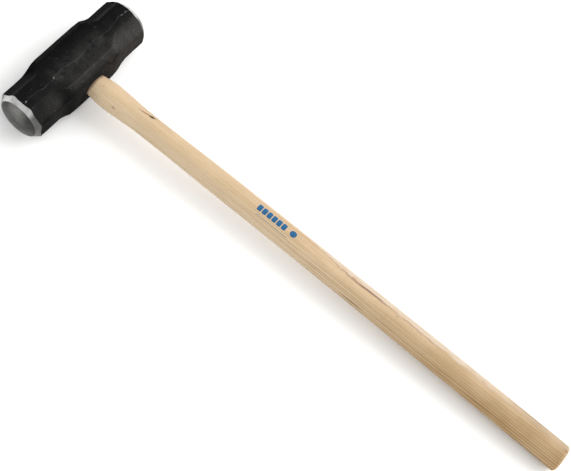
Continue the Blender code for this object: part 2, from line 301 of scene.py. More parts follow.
def tool_pose():
    """Places the tool's own axes in the row frame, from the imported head_top mount."""
    mount = next(m for m in frame["record"]["mounts"] if m["name"] == "head_top")
    along_handle = -Vector(mount["axis"]).normalized()
    striking = Vector((0.0, -1.0, 0.0))
    across = along_handle.cross(striking)
    place = Vector(mount["pos_m"])
    place.y = 0.0
    turn = Matrix((striking, across, along_handle)).transposed()
    return Matrix.Translation(place) @ turn.to_4x4()


def link(body):
    bpy.context.scene.collection.objects.link(body)
    return body


def grid_mesh(name, rows, closing_points=(None, None)):
    """Closed mesh through rows of points that each go once round.

    closing_points gives a tip for the first and the last row; None caps it with one face.
    """
    rows = [np.asarray(row) for row in rows]
    sides = len(rows[0])
    points = np.concatenate(rows)
    faces = []
    for i in range(len(rows) - 1):
        low, high = i * sides, (i + 1) * sides
        for j in range(sides):
            k = (j + 1) % sides
            faces.append((low + j, low + k, high + k, high + j))
    first = list(range(sides))
    last = list(range((len(rows) - 1) * sides, len(rows) * sides))
    for ring, tip, turned in ((first, closing_points[0], True), (last, closing_points[1], False)):
        if turned:
            ring = ring[::-1]
        if tip is None:
            faces.append(ring)
            continue
        index = len(points)
        points = np.vstack((points, tip))
        faces += [(ring[j], ring[(j + 1) % sides], index) for j in range(sides)]
    mesh = bpy.data.meshes.new(name)
    mesh.from_pydata(points.tolist(), [], faces)
    mesh.update()
    return mesh


def set_attribute(mesh, name, values):
    layer = mesh.attributes.new(name, "FLOAT", "POINT")
    layer.data.foreach_set("value", np.asarray(values, np.float32))


def cut(body, cutters):
    """Takes the cutters out of the body's mesh, then removes them."""
    for cutter in cutters:
        change = body.modifiers.new(cutter.name, "BOOLEAN")
        change.operation = "DIFFERENCE"
        change.solver = "EXACT"
        change.object = cutter
    graph = bpy.context.evaluated_depsgraph_get()
    mesh = bpy.data.meshes.new_from_object(body.evaluated_get(graph))
    body.modifiers.clear()
    body.data = mesh
    for cutter in cutters:
        bpy.data.objects.remove(cutter)


def oval(half_length, half_width, height, sides, shift=0.0):
    turns = 2.0 * np.pi * np.arange(sides) / sides
    heights = np.full(sides, height)
    return np.column_stack((shift + half_length * np.cos(turns), half_width * np.sin(turns), heights))


# Head ------------------------------------------------------------------------------------

def parting_height(position):
    """Height of the wandering parting line over the head's mid-plane."""
    swing = PARTING_SWING * np.cos(2.0 * np.pi * (position - PARTING_OFFSET) / PARTING_PITCH)
    ripple = RIPPLE_HEIGHT * np.sin(2.0 * np.pi * position / RIPPLE_PITCH)
    jitter = JITTER_HEIGHT * np.sin(2.0 * np.pi * position / JITTER_PITCH + JITTER_PHASE)
    return PARTING_SHIFT + swing + ripple + jitter


def section_planes(position, turn):
    """Unit normals (as angles) and distances of the flats that bound the forged section."""
    share = smooth_step((abs(position) - BLOCK_HALF_LENGTH) / SHOULDER_LENGTH)
    half_width = blend(BLOCK_WIDTH, POLL_WIDTH, share) / 2.0
    half_height = blend(BLOCK_HEIGHT, POLL_WIDTH, share) / 2.0
    block_corner = (BLOCK_WIDTH / 2.0 + BLOCK_HEIGHT / 2.0 - BLOCK_CORNER) / math.sqrt(2.0)
    poll_corner = (POLL_WIDTH - POLL_CORNER) / math.sqrt(2.0)
    planes = [(math.pi / 2.0, half_height), (-math.pi / 2.0, half_height)]
    for facing in (0.0, math.pi):
        planes.append((facing, half_width))
        for side, start in ((-1.0, -LAND_WIDTH), (1.0, 0.0)):
            across_parting = side * math.copysign(1.0, math.cos(facing))
            distance = half_width * math.cos(CHEEK_DRAFT)
            distance = distance + side * (PARTING_SHIFT + start) * math.sin(CHEEK_DRAFT)
            planes.append((facing + across_parting * CHEEK_DRAFT, distance))
    for quarter in range(4):
        facing = math.pi / 4.0 + quarter * math.pi / 2.0
        away = np.tan(np.clip(turn_between(turn, facing), -1.0, 1.0))
        reach = away * poll_corner / (POLL_CORNER / math.sqrt(2.0))
        start = SCOOP_START + SCOOP_CURVE * np.minimum(reach * reach, SCOOP_CURVE_LIMIT)
        run_out = smooth_step((abs(position) - start) / SCOOP_LENGTH)
        planes.append((facing, blend(block_corner, poll_corner, run_out)))
    return planes


def turn_between(turn, facing):
    return (turn - facing + np.pi) % (2.0 * np.pi) - np.pi


def forged_section(position, turn):
    """Radius of the forged section from the striking axis, and how near an edge it is, 0 to 1."""
    pushes = []
    for facing, distance in section_planes(position, turn):
        pushes.append(np.maximum(np.cos(turn - facing), 0.0) / distance)
    pushes = np.sort(np.array(pushes), axis=0)
    strongest, second = pushes[-1], pushes[-2]
    total = ((pushes / strongest) ** CORNER_SHARPNESS).sum(axis=0) ** (1.0 / CORNER_SHARPNESS)
    edge = smooth_step((second / strongest - 1.0 + EDGE_CLOSENESS) / EDGE_CLOSENESS)
    return 1.0 / (strongest * total), edge


def section_turns():
    """Angles round the section, closer together by the parting line on each cheek."""
    fine = np.linspace(0.0, 2.0 * np.pi, FINE_TURNS)
    density = 1.0 + PARTING_CROWDING * np.exp(-(np.sin(fine) / PARTING_SPREAD) ** 2)
    travelled = np.concatenate(([0.0], np.cumsum((density[1:] + density[:-1]) / 2.0)))
    return np.interp(np.arange(HEAD_TURNS) / HEAD_TURNS * travelled[-1], travelled, fine)


def bevel_edge(turns, side):
    """Distance of the ground bevel's edge from the head's middle, at each angle."""
    radius, _ = forged_section(np.full_like(turns, RIM_POSITION - GRINDING_ALLOWANCE), turns)
    followed = blend(radius.mean(), radius, SCALLOP_SHARE)
    edge = RIM_POSITION - (followed - FACE_RADIUS) / math.tan(BEVEL_ANGLE)
    ring = np.column_stack((np.full_like(turns, side), np.cos(turns), np.sin(turns)))
    for depth, size, seed in GRINDING_WOBBLE:
        edge = edge + depth * lumps(ring, size, seed)
    return edge


def forged_rows(turns):
    """Positions of every ring's points along the striking axis, from one bevel to the other."""
    count = int(round(2.0 * STRAIGHT_HALF / STEP_LENGTH))
    straight = [np.full_like(turns, x) for x in np.linspace(-STRAIGHT_HALF, STRAIGHT_HALF, count)]
    shares = np.arange(1, EDGE_RINGS + 1) / EDGE_RINGS
    front = [blend(STRAIGHT_HALF, bevel_edge(turns, 1.0), share) for share in shares]
    rear = [-blend(STRAIGHT_HALF, bevel_edge(turns, -1.0), share) for share in shares]
    return rear[::-1] + straight + front


def head_point(position, turn, radius):
    height = BLOCK_HEIGHT / 2.0 + radius * np.sin(turn)
    return np.column_stack((position, radius * np.cos(turn), height))


def ground_rows(turns, start, start_radius, side):
    """Rings of the ground bevel, its rounded rim and the crowned face, from the edge inwards."""
    rim = np.full_like(turns, RIM_POSITION)
    bevel_stop = 1.0 - RIM_ROUNDING / (RIM_POSITION - start.mean())
    rows = []
    for share in np.linspace(0.0, bevel_stop, BEVEL_RINGS)[1:]:
        rows.append((blend(start, rim, share), blend(start_radius, FACE_RADIUS, share)))
    corner = (RIM_POSITION, FACE_RADIUS)
    before = (rows[-1][0], rows[-1][1])
    inner_share = 1.0 - RIM_ROUNDING / FACE_RADIUS
    after = (RIM_POSITION + FACE_CROWN * (1.0 - inner_share ** 2), inner_share * FACE_RADIUS)
    for t in RIM_STEPS:
        weights = ((1.0 - t) ** 2, 2.0 * t * (1.0 - t), t * t)
        position = weights[0] * before[0] + weights[1] * corner[0] + weights[2] * after[0]
        radius = weights[0] * before[1] + weights[1] * corner[1] + weights[2] * after[1]
        rows.append((position, radius))
    for share in np.linspace(inner_share, CROWN_INNER_SHARE, CROWN_RINGS):
        height = RIM_POSITION + FACE_CROWN * (1.0 - share * share)
        rows.append((np.full_like(turns, height), np.full_like(turns, share * FACE_RADIUS)))
    return [head_point(side * position, turns, radius) for position, radius in rows]


def forged_ring(position, turns):
    """Points of one ring, and how far each is an edge, flash or a bare nick, 0 to 1."""
    radius, edge = forged_section(position, turns)
    along = radius * np.sin(turns)
    off_line = (along - parting_height(position)) / FLASH_HALF_WIDTH
    on_cheek = np.abs(np.cos(turns)) > FLASH_COSINE
    line = np.exp(-off_line ** 2) * on_cheek
    points = head_point(position, turns, radius)
    strength = FLASH_STRENGTH
    for depth, size, seed in FLASH_UNEVENNESS:
        strength = strength + depth * lumps(points, size, seed)
    flash = line * np.clip(strength, *FLASH_LIMITS)
    bump = FLASH_HEIGHT * flash
    bump += DENT_DEPTH * lumps(points, DENT_SIZE, 1.0)
    bump += SCALE_DEPTH * lumps(points, SCALE_SIZE, 2.0)
    row = head_point(position, turns, radius + bump)
    row[:, 1] = np.minimum(row[:, 1], REST_LIMIT)
    nick = np.zeros_like(turns)
    for place, half_length, brightness in FLASH_NICKS:
        nick += brightness * np.exp(-((position - place) / half_length) ** 2)
    return row, edge, flash, line * nick


def make_head(materials):
    turns = section_turns()
    positions = forged_rows(turns)
    rows, edges, flashes, nicks = zip(*[forged_ring(position, turns) for position in positions])
    forged_radius = [np.hypot(row[:, 1], row[:, 2] - BLOCK_HEIGHT / 2.0) for row in rows]
    front = ground_rows(turns, positions[-1], forged_radius[-1], 1.0)
    rear = ground_rows(turns, -positions[0], forged_radius[0], -1.0)[::-1]
    tips = [(side * HEAD_LENGTH / 2.0, 0.0, BLOCK_HEIGHT / 2.0) for side in (-1.0, 1.0)]
    mesh = grid_mesh("forged_head", rear + list(rows) + front, tips)
    blank = np.zeros(len(rear) * HEAD_TURNS)
    for name, values in (("edge", edges), ("flash", flashes), ("nick", nicks)):
        middle = np.concatenate(values)
        set_attribute(mesh, name, np.concatenate((blank, middle, blank, np.zeros(2))))
    for material in materials:
        mesh.materials.append(material)
    mesh.polygons.foreach_set("material_index", head_slots(mesh, len(rear), len(rows)))
    mesh.shade_smooth()
    head = link(bpy.data.objects.new("forged_head", mesh))
    cut(head, [make_eye_cutter()])
    head.data.set_sharp_from_angle(angle=HEAD_SHARP_ANGLE)
    return head


def head_slots(mesh, ground_rings, forged_rings):
    """Material of each face: 0 forged, 1 ground bevel, 2 crowned face."""
    bevel_faces = (BEVEL_RINGS + 1) * HEAD_TURNS
    crown_faces = (ground_rings - BEVEL_RINGS - 1) * HEAD_TURNS
    slots = [np.full(crown_faces, 2), np.full(bevel_faces, 1)]
    slots.append(np.zeros((forged_rings - 1) * HEAD_TURNS))
    slots += [np.full(bevel_faces, 1), np.full(crown_faces, 2)]
    slots = np.concatenate(slots)
    return np.concatenate((slots, np.full(len(mesh.polygons) - len(slots), 2))).astype(np.int32)


def eye_size(height):
    if height < EYE_WAIST_HEIGHT:
        share = smooth_step(height / EYE_WAIST_HEIGHT)
        return [blend(a, b, share) for a, b in zip(EYE_TOP, EYE_WAIST)]
    share = smooth_step((height - EYE_WAIST_HEIGHT) / (BLOCK_HEIGHT - EYE_WAIST_HEIGHT))
    return [blend(a, b, share) for a, b in zip(EYE_WAIST, EYE_BOTTOM)]


def make_eye_cutter():
    """Hourglass hole with a small flare at each mouth."""
    flare, overshoot = EYE_MOUTH_FLARE, EYE_OVERSHOOT
    sizes = [(-overshoot, flare + overshoot)]
    sizes += [(height, 0.0) for height in np.linspace(flare, BLOCK_HEIGHT - flare, EYE_RINGS)]
    sizes.append((BLOCK_HEIGHT + overshoot, flare + overshoot))
    rows = []
    for height, widen in sizes:
        length, width = eye_size(min(max(height, 0.0), BLOCK_HEIGHT))
        rows.append(oval(length + widen, width + widen, height, EYE_SIDES))
    return link(bpy.data.objects.new("eye_cutter", grid_mesh("eye_cutter", rows)))


# Handle ----------------------------------------------------------------------------------

def handle_half_length(rise):
    """Half the oval's long side at a height over the head's underside.

    A smooth curve through the stations, its slope at each one taken from its neighbours.
    """
    last = len(HANDLE_STATIONS) - 1
    i = 0
    while i < last - 1 and rise > HANDLE_STATIONS[i + 1][0]:
        i += 1
    (low, start), (high, end) = HANDLE_STATIONS[i], HANDLE_STATIONS[i + 1]
    before = HANDLE_STATIONS[max(i - 1, 0)]
    after = HANDLE_STATIONS[min(i + 2, last)]
    span = high - low
    start_slope = (end - before[1]) / (high - before[0]) * span
    end_slope = (after[1] - start) / (after[0] - low) * span
    t = min(max((rise - low) / span, 0.0), 1.0)
    value = (2.0 * t ** 3 - 3.0 * t ** 2 + 1.0) * start
    value += (t ** 3 - 2.0 * t ** 2 + t) * start_slope
    value += (3.0 * t ** 2 - 2.0 * t ** 3) * end
    value += (t ** 3 - t ** 2) * end_slope
    return value


def bow_at(height):
    middle = (BLOCK_HEIGHT + TOTAL_LENGTH) / 2.0
    share = min(abs(height - middle) / (TOTAL_LENGTH - middle), 1.0)
    return HANDLE_BOW * (1.0 - share * share)


def make_handle(material):
    rows = []
    for height in np.linspace(TENON_RECESS, BLOCK_HEIGHT, TENON_RINGS):
        length, width = eye_size(height)
        rows.append(oval(length - FIT_GAP, width - FIT_GAP, height, HANDLE_SIDES))
    straight_end = TOTAL_LENGTH - END_ROUNDING
    for height in np.linspace(BLOCK_HEIGHT, straight_end, HANDLE_RINGS)[1:]:
        length = handle_half_length(height - BLOCK_HEIGHT)
        row = oval(length, length * OVAL_RATIO, height, HANDLE_SIDES, bow_at(height))
        fade = smooth_step((height - BLOCK_HEIGHT) / SHAVING_START)
        shave = 1.0 + fade * SHAVING_DEPTH / length * lumps(row, SHAVING_SIZE, 6.0)[:, None]
        centre = np.array((bow_at(height), 0.0, height))
        rows.append(centre + (row - centre) * np.hstack((shave, shave, np.ones_like(shave))))
    length = handle_half_length(TOTAL_LENGTH - BLOCK_HEIGHT)
    for angle in np.radians(np.linspace(0.0, 90.0, END_RINGS)[1:]):
        inset = END_ROUNDING * (1.0 - math.cos(angle))
        height = straight_end + END_ROUNDING * math.sin(angle)
        rows.append(oval(length - inset, length * OVAL_RATIO - inset, height, HANDLE_SIDES))
    for share in END_SHARES:
        reach = share * (length - END_ROUNDING)
        width = share * (length * OVAL_RATIO - END_ROUNDING)
        bulge = TOTAL_LENGTH + END_BULGE * (1.0 - share)
        rows.append(oval(reach, width, bulge, HANDLE_SIDES))
    mesh = grid_mesh("ash_handle", rows)
    mesh.materials.append(material)
    mesh.shade_smooth()
    handle = link(bpy.data.objects.new("ash_handle", mesh))
    cut(handle, [make_kerf_cutter()] + [make_slot_cutter(side) for side in (1.0, -1.0)])
    handle.data.set_sharp_from_angle(angle=HANDLE_SHARP_ANGLE)
    return handle


def wedge_cutter(name, half_length, profile):
    """Closed wedge from half-thickness and depth pairs, its driven end first."""
    outline = list(profile) + [(-half, depth) for half, depth in reversed(profile)]
    rows = [[(side * half_length, half, depth) for half, depth in outline] for side in (1.0, -1.0)]
    return link(bpy.data.objects.new(name, grid_mesh(name, rows)))


def make_kerf_cutter():
    tip_half = WOOD_WEDGE_TIP_HALF + FIT_GAP
    top_half = WOOD_WEDGE_TOP_HALF + FIT_GAP
    slope = (top_half - tip_half) / WOOD_WEDGE_DEPTH
    profile = [
        (top_half + slope * CUT_OVERSHOOT, -CUT_OVERSHOOT),
        (tip_half, WOOD_WEDGE_DEPTH),
        (tip_half, KERF_DEPTH),
    ]
    cutter = wedge_cutter("kerf_cutter", 2.0 * WOOD_WEDGE_HALF_LENGTH, profile)
    cutter.location = (0.0, 0.0, TENON_RECESS)
    return cutter


def make_slot_cutter(side):
    tip_half = STEEL_WEDGE_TIP_HALF + FIT_GAP
    top_half = STEEL_WEDGE_TOP_HALF + FIT_GAP
    slope = (top_half - tip_half) / STEEL_WEDGE_DEPTH
    profile = [
        (top_half + slope * CUT_OVERSHOOT, -CUT_OVERSHOOT),
        (tip_half, STEEL_WEDGE_DEPTH + FIT_GAP),
    ]
    cutter = wedge_cutter("slot_cutter", STEEL_WEDGE_HALF_WIDTH + FIT_GAP, profile)
    cutter.location = (side * STEEL_WEDGE_OFFSET, 0.0, TENON_RECESS)
    cutter.rotation_euler = (0.0, 0.0, math.radians(90.0) + side * STEEL_WEDGE_TURN)
    return cutter


# Materials -------------------------------------------------------------------------------

class Graph:
    """One node material, with short calls for the nodes it uses."""

    def __init__(self, name):
        self.material = bpy.data.materials.new(name)
        self.material.use_nodes = True
        self.tree = self.material.node_tree
        self.shader = self.tree.nodes["Principled BSDF"]
        self.place = self.add("ShaderNodeTexCoord").outputs["Object"]
        self.x, self.y, self.z = self.split(self.place)

    def add(self, kind, **settings):
        node = self.tree.nodes.new(kind)
        for key, value in settings.items():
            setattr(node, key, value)
        return node

    def feed(self, socket, value):
        if isinstance(value, bpy.types.NodeSocket):
            self.tree.links.new(value, socket)
        elif socket.type == "RGBA" and len(value) == 3:
            socket.default_value = (*value, 1.0)
        else:
            socket.default_value = value

    def split(self, vector):
        node = self.add("ShaderNodeSeparateXYZ")
        self.feed(node.inputs[0], vector)
        return node.outputs

    def join(self, x, y, z):
        node = self.add("ShaderNodeCombineXYZ")
        for socket, value in zip(node.inputs, (x, y, z)):
            self.feed(socket, value)
        return node.outputs[0]

    def math(self, operation, *values):
        node = self.add("ShaderNodeMath", operation=operation)
        for socket, value in zip(node.inputs, values):
            self.feed(socket, value)
        return node.outputs[0]

    def plus(self, total, *others):
        """Sum of all the values."""
        for value in others:
            total = self.math("ADD", total, value)
        return total

    def times(self, product, *others):
        """Product of all the values."""
        for value in others:
            product = self.math("MULTIPLY", product, value)
        return product

    def distance(self, value, place):
        """How far a value is from a place, whichever side it is on."""
        return self.math("ABSOLUTE", self.math("SUBTRACT", value, place))

    def between(self, value, low, high):
        """1 between the two places, otherwise 0."""
        above = self.math("GREATER_THAN", value, low)
        return self.times(above, self.math("LESS_THAN", value, high))

    def noise(self, size, detail=2.0, roughness=0.5, shift=0.0):
        """Noise from 0 to 1; size is in millimetres, one for all the axes or one for each."""
        sizes = size if isinstance(size, tuple) else (size, size, size)
        mapping = self.add("ShaderNodeMapping")
        self.feed(mapping.inputs["Vector"], self.place)
        mapping.inputs["Scale"].default_value = [1.0 / (length * MM) for length in sizes]
        mapping.inputs["Location"].default_value = (shift, shift, shift)
        return self.unit_noise(mapping.outputs[0], detail, roughness)

    def unit_noise(self, place, detail, roughness):
        node = self.add("ShaderNodeTexNoise")
        self.feed(node.inputs["Vector"], place)
        node.inputs["Scale"].default_value = 1.0
        node.inputs["Detail"].default_value = detail
        node.inputs["Roughness"].default_value = roughness
        return node.outputs["Fac"]

    def attribute(self, name):
        return self.add("ShaderNodeAttribute", attribute_name=name).outputs["Fac"]

    def ramp(self, value, low, high, start=0.0, end=1.0):
        """Smoothly from start at low to end at high."""
        node = self.add("ShaderNodeMapRange", interpolation_type="SMOOTHSTEP")
        for socket, item in zip(node.inputs, (value, low, high, start, end)):
            self.feed(socket, item)
        return node.outputs[0]

    def ramp_mm(self, value, low, high, start=0.0, end=1.0):
        """The same, with low and high in millimetres."""
        return self.ramp(value, low * MM, high * MM, start, end)

    def mix(self, share, first, second, blend_type="MIX"):
        node = self.add("ShaderNodeMix", data_type="RGBA", blend_type=blend_type)
        self.feed(node.inputs[0], share)
        self.feed(node.inputs[6], first)
        self.feed(node.inputs[7], second)
        return node.outputs[2]

    def bump(self, height, depth, below=None):
        """Bump whose height, from 0 to 1, is worth a depth in millimetres."""
        node = self.add("ShaderNodeBump")
        node.inputs["Distance"].default_value = depth * MM
        node.inputs["Strength"].default_value = 1.0
        self.feed(node.inputs["Height"], height)
        if below is not None:
            self.feed(node.inputs["Normal"], below)
        return node.outputs[0]

    def finish(self, **sockets):
        for name, value in sockets.items():
            self.feed(self.shader.inputs[name.replace("_", " ")], value)
        return self.material


def darker(colour, share):
    return tuple(share * channel for channel in colour)


def painted_light_share(g, patches):
    """Painted light: lighter grey on the handle-side flats where light falls, most on the rear half, some
    on the front poll's flat.
    """
    middle = g.ramp_mm(g.x, 52.0, 28.0, 0.16, 0.64)
    rear_poll = g.ramp_mm(g.x, -38.0, -58.0, 0.0, 0.46)
    front_flat = g.ramp_mm(g.distance(g.x, 76.0 * MM), 20.0, 4.0, 0.0, 0.30)
    handle_side = g.ramp_mm(g.z, 46.0, 68.0)
    uneven = g.ramp(patches, 0.25, 0.7, 0.65, 1.0)
    less_underneath = g.ramp_mm(g.z, 72.0, 79.5, 1.0, 0.34)
    return g.times(handle_side, g.plus(middle, rear_poll, front_flat), uneven, less_underneath)


def rust_share(g):
    """Rust in blotches underneath the rear half."""
    blotches = g.ramp(g.noise(9.0, 5.0, 0.65, 7.0), 0.42, 0.62)
    return g.times(g.ramp_mm(g.z, 70.0, 79.0), g.ramp_mm(g.x, 0.0, -45.0), blotches, 0.6)


def edge_wear_and_highlight_share(g, patches):
    """Painted highlight, partly worn paint, on the edges between the flats: most round the eye block, none
    by the top.
    """
    uneven = g.ramp(patches, 0.30, 0.60, 0.25, 0.85)
    off_top = g.ramp_mm(g.z, 20.0, 55.0)
    off_polls = g.ramp_mm(g.math("ABSOLUTE", g.x), 58.0, 44.0, 0.2, 1.0)
    off_underside = g.ramp_mm(g.z, 75.0, 71.0, 0.1, 1.0)
    return g.times(g.attribute("edge"), uneven, off_top, off_polls, off_underside)


def forged_black():
    """Black-painted forging: grainy scale, painted light on the handle-side flats, rust, painted
    highlights and wear on the edges, specks and bare nicks.
    """
    g = Graph("forged_black")
    broad = g.noise(34.0, 3.0, 0.55)
    patches = g.noise(11.0, 5.0, 0.62, 3.0)
    grain = g.noise(2.1, 3.0, 0.7, 13.0)
    grit = g.noise(0.9, 3.0, 0.6, 5.0)
    specks = g.ramp(g.noise(2.6, 1.0, 0.4, 9.0), 0.73, 0.77)
    crest = g.times(g.attribute("flash"), g.ramp(grit, 0.3, 0.7, 0.3, 0.9))
    nicks = g.times(g.attribute("nick"), g.ramp(grain, 0.38, 0.58, 0.10, 0.9))

    colour = g.mix(g.ramp(broad, 0.3, 0.7), PAINT_DARK, PAINT_LIGHT)
    colour = g.mix(g.ramp(patches, 0.5, 0.75, 0.0, 0.5), colour, PAINT_PATCH)
    # painted light on the handle-side flats, most on the rear half
    colour = g.mix(painted_light_share(g, patches), colour, PAINTED_LIGHT_GREY)
    colour = g.mix(rust_share(g), colour, RUST)
    # painted highlight, partly worn paint, on the edges between the flats
    colour = g.mix(edge_wear_and_highlight_share(g, patches), colour, WORN_EDGE_HIGHLIGHT)
    colour = g.mix(crest, colour, FLASH_CREST)
    colour = g.mix(g.times(specks, 0.7), colour, SPECK)
    colour = g.mix(g.ramp(grain, 0.36, 0.64), colour, GRAIN_TONE, "SOFT_LIGHT")
    colour = g.mix(nicks, colour, BARE_STEEL)

    off_cheeks = g.plus(g.ramp_mm(g.z, 24.0, 14.0, 0.0, 0.7), g.ramp_mm(g.z, 68.0, 80.0))
    rough = g.math("MULTIPLY_ADD", off_cheeks, 0.38, g.ramp(patches, 0.3, 0.8, 0.60, 0.50))
    normal = g.bump(g.noise(3.2, 3.0, 0.65, 11.0), 0.45)
    normal = g.bump(grit, 0.16, normal)
    g.shader.inputs["Specular IOR Level"].default_value = PAINT_SPECULAR
    return g.finish(Base_Color=colour, Roughness=rough, Normal=normal)


def bevel_painted_shade(g):
    """Share of the bevel under painted shade, standing for a darker reflection: most towards the handle,
    some towards the head's top.
    """
    return g.plus(*[g.ramp_mm(g.z, low, high, 0.0, share) for low, high, share in BEVEL_SHADE_ZONES])


def crown_painted_shade(g):
    """Share of the crowned face under painted shade: all but a bright patch by the upper cheek, which
    stays as a painted reflection.
    """
    along = g.ramp_mm(g.distance(g.z, 38.5 * MM), 22.0, 5.0)
    return g.math("SUBTRACT", 1.0, g.times(along, g.ramp_mm(g.y, 14.0, -24.0)))


def grinding_marks(g, ring_size):
    """Noise drawn out into fine rings round the striking axis."""
    across = g.math("SUBTRACT", g.z, BLOCK_HEIGHT / 2.0)
    radius = g.math("SQRT", g.plus(g.times(g.y, g.y), g.times(across, across)))
    turn = g.math("ARCTAN2", across, g.y)
    steps = [g.math("DIVIDE", length, ring_size) for length in (radius, g.x)]
    return g.unit_noise(g.join(steps[0], g.times(turn, 3.0), steps[1]), 3.0, 0.5)


def ground_steel(name, colour, roughness, ring_size, painted_shade_share, painted_shade_tint):
    """Ground steel: grinding marks, cloudy shine, small pits, and painted shade over a part of it."""
    g = Graph(name)
    marks = grinding_marks(g, ring_size)
    cloud = g.noise(9.0, 3.0, 0.55, 2.0)
    pits = g.ramp(g.noise(1.4, 2.0, 0.5, 4.0), 0.70, 0.78)
    base = g.mix(g.ramp(cloud, 0.3, 0.7), darker(colour, 0.72), colour)
    base = g.mix(g.ramp(marks, 0.3, 0.7, 0.0, 0.35), base, darker(colour, 0.55))
    base = g.mix(g.times(pits, 0.5), base, darker(colour, 0.3))
    # painted shade over the part that the share function gives
    base = g.mix(painted_shade_share(g), base, g.mix(1.0, base, painted_shade_tint, "MULTIPLY"))
    rough = g.ramp(cloud, 0.3, 0.7, roughness + 0.05, roughness - 0.05)
    normal = g.bump(marks, 0.035)
    normal = g.bump(g.noise(5.0, 2.0, 0.5, 6.0), 0.08, normal)
    g.shader.inputs["Metallic"].default_value = 1.0
    return g.finish(Base_Color=base, Roughness=rough, Normal=normal)


def plain_wood(g):
    """The wood without its grain: cream to tan along the handle, a tone on the front side, and painted
    shade on the rear side.
    """
    colour = g.mix(g.ramp_mm(g.z, 90.0, 380.0), HEAD_CREAM, MIDDLE_TAN)
    colour = g.mix(g.ramp_mm(g.z, 460.0, 900.0), colour, END_TAN)
    # painted shade on the rear side of the handle, darker towards the far end
    rear = g.mix(g.ramp_mm(g.z, 780.0, 860.0), REAR_SIDE_SHADE, REAR_SIDE_END_SHADE)
    colour = g.mix(g.ramp_mm(g.x, 2.0, -17.0, 0.0, 0.70), colour, rear)
    front = g.times(g.ramp_mm(g.x, 0.0, 16.0), g.ramp_mm(g.z, 650.0, 400.0, 0.0, 0.75))
    colour = g.mix(front, colour, FRONT_SIDE)
    front_end = g.times(g.ramp_mm(g.x, 4.0, 17.0), g.ramp_mm(g.z, 500.0, 850.0))
    return g.mix(front_end, colour, FRONT_SIDE_END)


def ring_wave(g, wander):
    """Wave from 0 to 1 across the handle, once for each growth ring."""
    drift = g.noise((60.0, 60.0, 500.0), 2.0, 0.5, 1.0)
    slant = g.times(g.y, 0.22)
    across = g.plus(g.x, slant, g.times(drift, 9.0 * MM), g.times(wander, 5.0 * MM))
    phase = g.times(across, 2.0 * math.pi / RING_PITCH)
    return g.math("MULTIPLY_ADD", g.math("SINE", phase), 0.5, 0.5)


def with_rings(g, colour, wave, line):
    """The colour with pale and dark growth rings, faint by the head, stronger further on."""
    depth = g.ramp_mm(g.z, 100.0, 700.0, 0.38, 1.0)
    pale = g.times(g.ramp(wave, 0.45, 0.0, 0.0, 0.34), depth)
    colour = g.mix(pale, colour, PALE_RING)
    dark = g.mix(g.ramp_mm(g.z, 580.0, 850.0), DARK_RING, DARK_RING_END)
    return g.mix(g.times(line, depth), colour, dark)


def with_sapwood(g, colour, ragged, cloud):
    """The colour with mottled sapwood on the rear side, and a brown seam at its ragged edge."""
    limit = g.ramp_mm(g.z, 370.0, 545.0, -26.0 * MM, -9.0 * MM)
    limit = g.plus(limit, g.times(g.math("SUBTRACT", ragged, 0.5), 11.0 * MM))
    depth = g.math("SUBTRACT", limit, g.x)
    mottle = g.noise((4.0, 4.0, 16.0), 3.0, 0.6, 10.0)
    share = g.times(
        g.ramp_mm(depth, 0.0, 1.6),
        g.ramp_mm(g.z, 720.0, 850.0, 0.95, 0.20),
        g.ramp(mottle, 0.36, 0.56, 0.40, 1.0),
        g.ramp_mm(g.z, 430.0, 540.0, 0.45, 1.0),
    )
    seam = g.times(
        g.ramp_mm(depth, -1.8, 0.0),
        g.ramp_mm(depth, 1.2, 0.0),
        g.ramp_mm(g.z, 430.0, 520.0, 0.0, 0.85),
        g.ramp(cloud, 0.42, 0.58, 0.15, 1.0),
        g.ramp_mm(g.z, 640.0, 730.0, 1.0, 0.2),
    )
    return g.mix(seam, g.mix(share, colour, SAPWOOD), SAPWOOD_SEAM)


def streak(g, heights, turns, half_width, ripple):
    """Mask of a long thin mineral streak between two heights, drifting from turn to turn."""
    start, end = [math.radians(turn) for turn in turns]
    share = g.ramp(g.z, *heights)
    middle = g.plus(g.times(share, end - start), start)
    away = g.distance(g.math("ARCTAN2", g.y, g.x), middle)
    away = g.plus(g.times(away, STREAK_REACH), ripple)
    taper = g.math("SINE", g.times(share, math.pi))
    width = g.math("MAXIMUM", g.times(taper, half_width), 0.01 * MM)
    across = g.ramp(g.math("DIVIDE", away, width), 0.2, 1.0, 1.0, 0.0)
    return g.times(across, g.ramp(taper, 0.0, 0.35))


def printed_tiles(g, side):
    step = g.math("DIVIDE", g.math("SUBTRACT", g.z, PRINT_START), PRINT_PITCH)
    in_step = g.distance(g.math("FRACT", step), 0.5)
    along = g.math("POWER", g.math("DIVIDE", in_step, PRINT_FILL / 2.0), PRINT_SQUARENESS)
    reach = g.math("DIVIDE", g.math("ABSOLUTE", side), PRINT_HALF_HEIGHT)
    across = g.math("POWER", reach, PRINT_SQUARENESS)
    tile = g.ramp(g.plus(along, across), 1.1, 0.9)
    return g.times(tile, g.between(step, 0.0, float(PRINT_COUNT)))


def printed_disc(g, side):
    along = g.math("SUBTRACT", g.z, PRINT_DISC)
    radius = g.math("SQRT", g.plus(g.times(along, along), g.times(side, side)))
    return g.ramp(radius, 1.04 * PRINT_HALF_HEIGHT, 0.96 * PRINT_HALF_HEIGHT)


def printed_rule(g, side):
    line = g.ramp_mm(g.distance(side, PRINT_RULE), 0.55, 0.40)
    ends = (PRINT_START + PRINT_RULE_INSET, PRINT_DISC - PRINT_RULE_INSET)
    return g.times(line, g.between(g.z, *ends))


